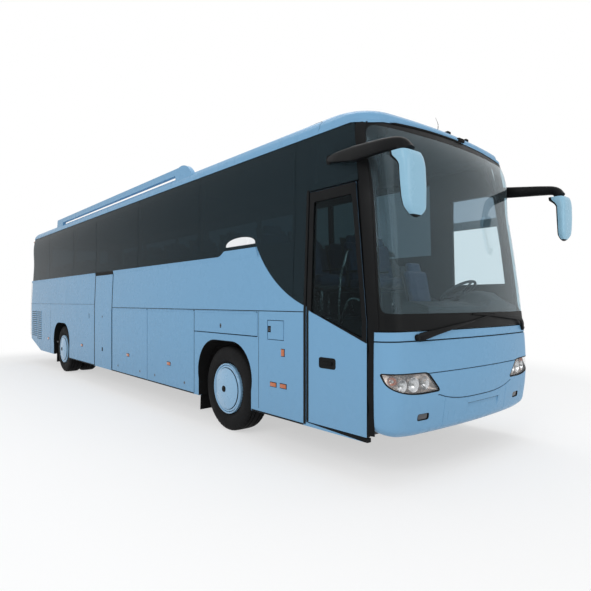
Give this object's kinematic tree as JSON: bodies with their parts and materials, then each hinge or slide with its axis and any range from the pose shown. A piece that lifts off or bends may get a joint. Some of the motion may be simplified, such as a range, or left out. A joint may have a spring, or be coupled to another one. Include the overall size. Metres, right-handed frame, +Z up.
{
  "type": "coach bus",
  "caption": "High-deck touring coach with steered front wheels, twin rear wheels, opening doors, luggage flaps, engine lid and a glazed hollow cabin.",
  "frame": {"origin": "on the ground on the centre line, midway between the front and rear axles, within about 5 cm of the middle of the overall box", "axes": "+X forward, +Y to the coach's left, +Z up"},
  "size_m": [12.931, 3.12, 3.6],
  "materials": {
    "body_paint": "gloss light blue",
    "black_trim": "satin black",
    "tinted_glass": "dark tint",
    "clear_glass": "light grey-green tint",
    "lamp_lens": "clear",
    "underside": "matt black",
    "floor_cover": "textured",
    "bare_metal": "cast",
    "cab_plastic": "grained",
    "seat_fabric": "woven",
    "tyre": "rubber",
    "wheel_paint": "gloss light blue",
    "unit_cover": "moulded"
  },
  "bodies": {
    "coach_body": {"side_wall_right": "body_paint", "side_wall_left": "body_paint", "window_frames": "black_trim", "cabin_glass": "tinted_glass", "front_mask": "body_paint", "front_bumper": "body_paint", "windscreen": "clear_glass", "lamps": "lamp_lens", "roof": "body_paint", "roof_rails": "body_paint", "roof_ac_unit": "unit_cover", "rear_wall": "body_paint", "engine": "bare_metal", "floor": "floor_cover", "entrance_steps": "floor_cover", "luggage_bay": "underside", "chassis_rails": "underside", "cross_members": "underside", "dashboard": "cab_plastic", "steering_wheel": "cab_plastic", "seats": "seat_fabric", "mirrors": "black_trim", "wipers": "black_trim", "front_axle": "bare_metal", "rear_axle": "bare_metal"},
    "front_door": {"front_door": "body_paint", "front_door_glass": "tinted_glass"},
    "mid_door": {"mid_door": "body_paint"},
    "service_flap": {"service_flap": "body_paint"},
    "fuel_flap": {"fuel_flap": "body_paint"},
    "luggage_flap_right_rear": {"luggage_flap_right_rear": "body_paint"},
    "luggage_flap_right_front": {"luggage_flap_right_front": "body_paint"},
    "luggage_flap_left_rear": {"luggage_flap_left_rear": "body_paint"},
    "luggage_flap_left_front": {"luggage_flap_left_front": "body_paint"},
    "engine_lid": {"engine_lid": "body_paint"},
    "steering_knuckle_right": {"knuckle_right": "bare_metal"},
    "steering_knuckle_left": {"knuckle_left": "bare_metal"},
    "front_wheel_right": {"tyre_front_right": "tyre", "wheel_front_right": "wheel_paint"},
    "front_wheel_left": {"tyre_front_left": "tyre", "wheel_front_left": "wheel_paint"},
    "rear_wheels_right": {"tyres_rear_right": "tyre", "wheels_rear_right": "wheel_paint"},
    "rear_wheels_left": {"tyres_rear_left": "tyre", "wheels_rear_left": "wheel_paint"}
  },
  "joints": [
    {"name": "steer_left", "type": "hinge", "parent": "coach_body", "child": "steering_knuckle_left", "pos_m": [3.45, 0.87, 0.515], "axis": [0, 0, 1], "range_deg": [-40, 40]},
    {"name": "steer_right", "type": "hinge", "parent": "coach_body", "child": "steering_knuckle_right", "pos_m": [3.45, -0.87, 0.515], "axis": [0, 0, 1], "range_deg": [-40, 40]},
    {"name": "roll_front_left", "type": "hinge", "parent": "steering_knuckle_left", "child": "front_wheel_left", "pos_m": [3.45, 1.075, 0.515], "axis": [0, 1, 0], "continuous": true},
    {"name": "roll_front_right", "type": "hinge", "parent": "steering_knuckle_right", "child": "front_wheel_right", "pos_m": [3.45, -1.075, 0.515], "axis": [0, 1, 0], "continuous": true},
    {"name": "roll_rear_left", "type": "hinge", "parent": "coach_body", "child": "rear_wheels_left", "pos_m": [-3.45, 0.9, 0.515], "axis": [0, 1, 0], "continuous": true},
    {"name": "roll_rear_right", "type": "hinge", "parent": "coach_body", "child": "rear_wheels_right", "pos_m": [-3.45, -0.9, 0.515], "axis": [0, 1, 0], "continuous": true},
    {"name": "open_front_door", "type": "hinge", "parent": "coach_body", "child": "front_door", "pos_m": [5.8065, -1.278, 1.5], "axis": [0, 0, 1], "range_deg": [0, 88]},
    {"name": "open_mid_door", "type": "hinge", "parent": "coach_body", "child": "mid_door", "pos_m": [-0.3135, -1.278, 1.2], "axis": [0, 0, 1], "range_deg": [0, 88]},
    {"name": "open_engine_lid", "type": "hinge", "parent": "coach_body", "child": "engine_lid", "pos_m": [-6.503, 0, 1.8865], "axis": [0, 1, 0], "range_deg": [0, 75]},
    {"name": "open_service_flap", "type": "hinge", "parent": "coach_body", "child": "service_flap", "pos_m": [3.45, -1.278, 1.4615], "axis": [-1, 0, 0], "range_deg": [0, 85]},
    {"name": "open_fuel_flap", "type": "hinge", "parent": "coach_body", "child": "fuel_flap", "pos_m": [4.6415, -1.278, 1.27], "axis": [0, 0, 1], "range_deg": [0, 100]},
    {"name": "open_luggage_flap_right_rear", "type": "hinge", "parent": "coach_body", "child": "luggage_flap_right_rear", "pos_m": [0.47125, -1.278, 1.4615], "axis": [-1, 0, 0], "range_deg": [0, 90]},
    {"name": "open_luggage_flap_right_front", "type": "hinge", "parent": "coach_body", "child": "luggage_flap_right_front", "pos_m": [1.97375, -1.278, 1.4615], "axis": [-1, 0, 0], "range_deg": [0, 90]},
    {"name": "open_luggage_flap_left_rear", "type": "hinge", "parent": "coach_body", "child": "luggage_flap_left_rear", "pos_m": [0.47125, 1.278, 1.4615], "axis": [1, 0, 0], "range_deg": [0, 90]},
    {"name": "open_luggage_flap_left_front", "type": "hinge", "parent": "coach_body", "child": "luggage_flap_left_front", "pos_m": [1.97375, 1.278, 1.4615], "axis": [1, 0, 0], "range_deg": [0, 90]}
  ],
  "couplings": [
    {"joint": "steer_right", "follows": "steer_left", "ratio": 1}
  ]
}
